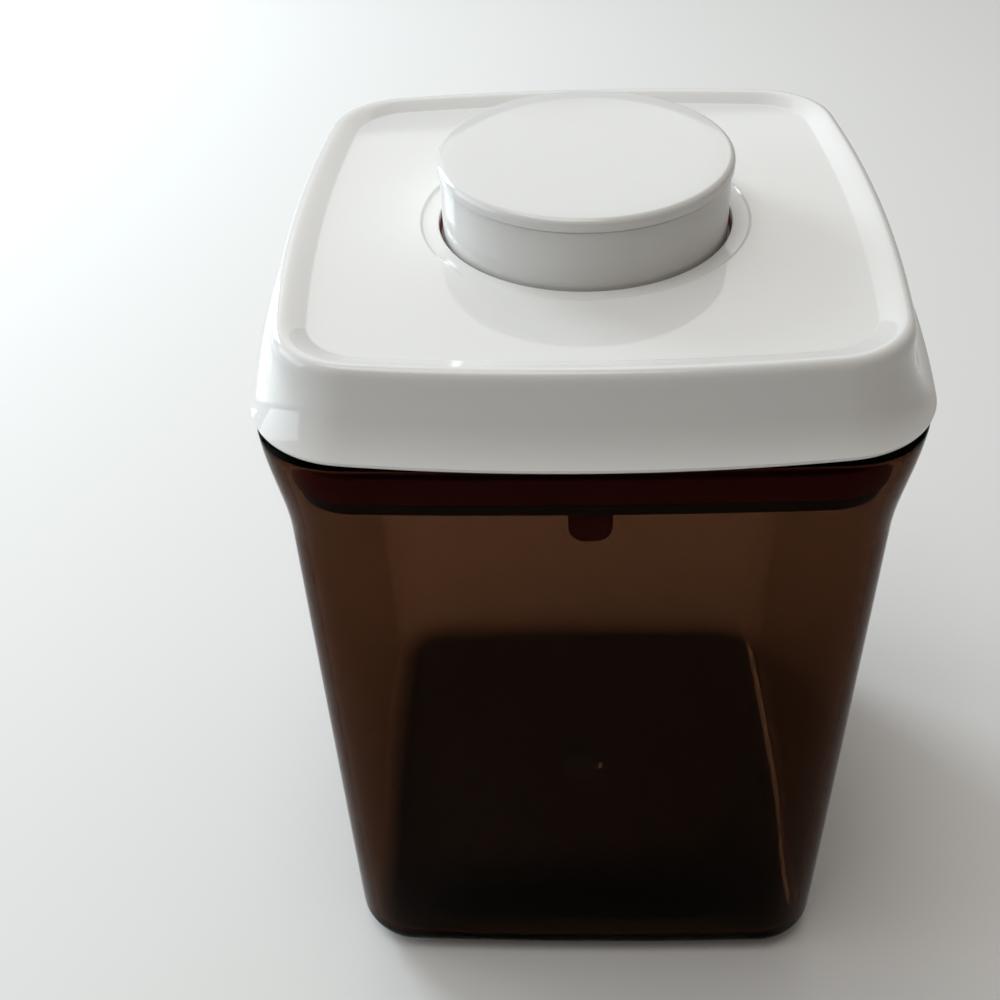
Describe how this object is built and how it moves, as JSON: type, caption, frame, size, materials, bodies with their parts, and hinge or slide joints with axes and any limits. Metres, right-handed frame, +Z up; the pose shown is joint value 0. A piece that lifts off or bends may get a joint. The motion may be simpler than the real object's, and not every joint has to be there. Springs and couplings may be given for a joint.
{
  "type": "airtight food container",
  "caption": "Tinted see-through square food container with a white push-button lid whose pushers spread a red gasket against the mouth.",
  "frame": {"origin": "on the table, under the middle of the container", "axes": "+Z up, out of the button's top; -Y towards the viewer, the side of the gasket's pull tab; +X to the viewer's right"},
  "size_m": [0.14, 0.14, 0.2074],
  "materials": {
    "smoke_tint": "clear smoke-brown plastic, polished",
    "white_gloss": "glossy white plastic",
    "white_button": "glossy white plastic",
    "black_plastic": "black plastic",
    "grey_acetal": "grey slippery plastic",
    "red_silicone": "soft red silicone",
    "steel": "plain bright steel"
  },
  "bodies": {
    "container": {"container_body": "smoke_tint"},
    "lid": {"lid_cover": "white_gloss", "button_seal": "red_silicone", "lid_base": "black_plastic", "plug_tray": "black_plastic", "gasket": "red_silicone", "return_spring": "steel", "base_screw_1": "steel", "base_screw_2": "steel", "base_screw_3": "steel", "base_screw_4": "steel"},
    "button": {"button_cap": "white_button", "button_shell": "white_button", "plunger": "grey_acetal", "heart_plate": "grey_acetal", "plunger_screw_1": "steel", "plunger_screw_2": "steel"},
    "pusher_right": {"pusher_right": "grey_acetal"},
    "pusher_back": {"pusher_back": "grey_acetal"},
    "pusher_left": {"pusher_left": "grey_acetal"},
    "pusher_front": {"pusher_front": "grey_acetal"},
    "latch_wire": {"latch_wire": "steel"}
  },
  "joints": [
    {"name": "lid_lift", "type": "slide", "parent": "container", "child": "lid", "axis": [0, 0, 1], "range_m": [0, 0.06]},
    {"name": "button_press", "type": "slide", "parent": "lid", "child": "button", "axis": [0, 0, -1], "range_m": [0, 0.0135], "stiffness_N_per_m": 300, "springref_m": -0.01, "deforming": ["return_spring"]},
    {"name": "pusher_right_slide", "type": "slide", "parent": "lid", "child": "pusher_right", "axis": [1, 0, 0], "range_m": [0, 0.0013]},
    {"name": "pusher_back_slide", "type": "slide", "parent": "lid", "child": "pusher_back", "axis": [0, 1, 0], "range_m": [0, 0.0013]},
    {"name": "pusher_left_slide", "type": "slide", "parent": "lid", "child": "pusher_left", "axis": [-1, 0, 0], "range_m": [0, 0.0013]},
    {"name": "pusher_front_slide", "type": "slide", "parent": "lid", "child": "pusher_front", "axis": [0, -1, 0], "range_m": [0, 0.0013]},
    {"name": "latch_swing", "type": "hinge", "parent": "lid", "child": "latch_wire", "pos_m": [0.01619, 0.01619, 0.172], "axis": [0.7071, 0.7071, 0], "range_deg": [0, 19]}
  ],
  "couplings": [
    {"joint": "pusher_right_slide", "follows": "button_press", "ratio": 0.09629},
    {"joint": "pusher_back_slide", "follows": "button_press", "ratio": 0.09629},
    {"joint": "pusher_left_slide", "follows": "button_press", "ratio": 0.09629},
    {"joint": "pusher_front_slide", "follows": "button_press", "ratio": 0.09629},
    {"joint": "latch_swing", "follows": "button_press", "rad_per_m": 24.56}
  ]
}
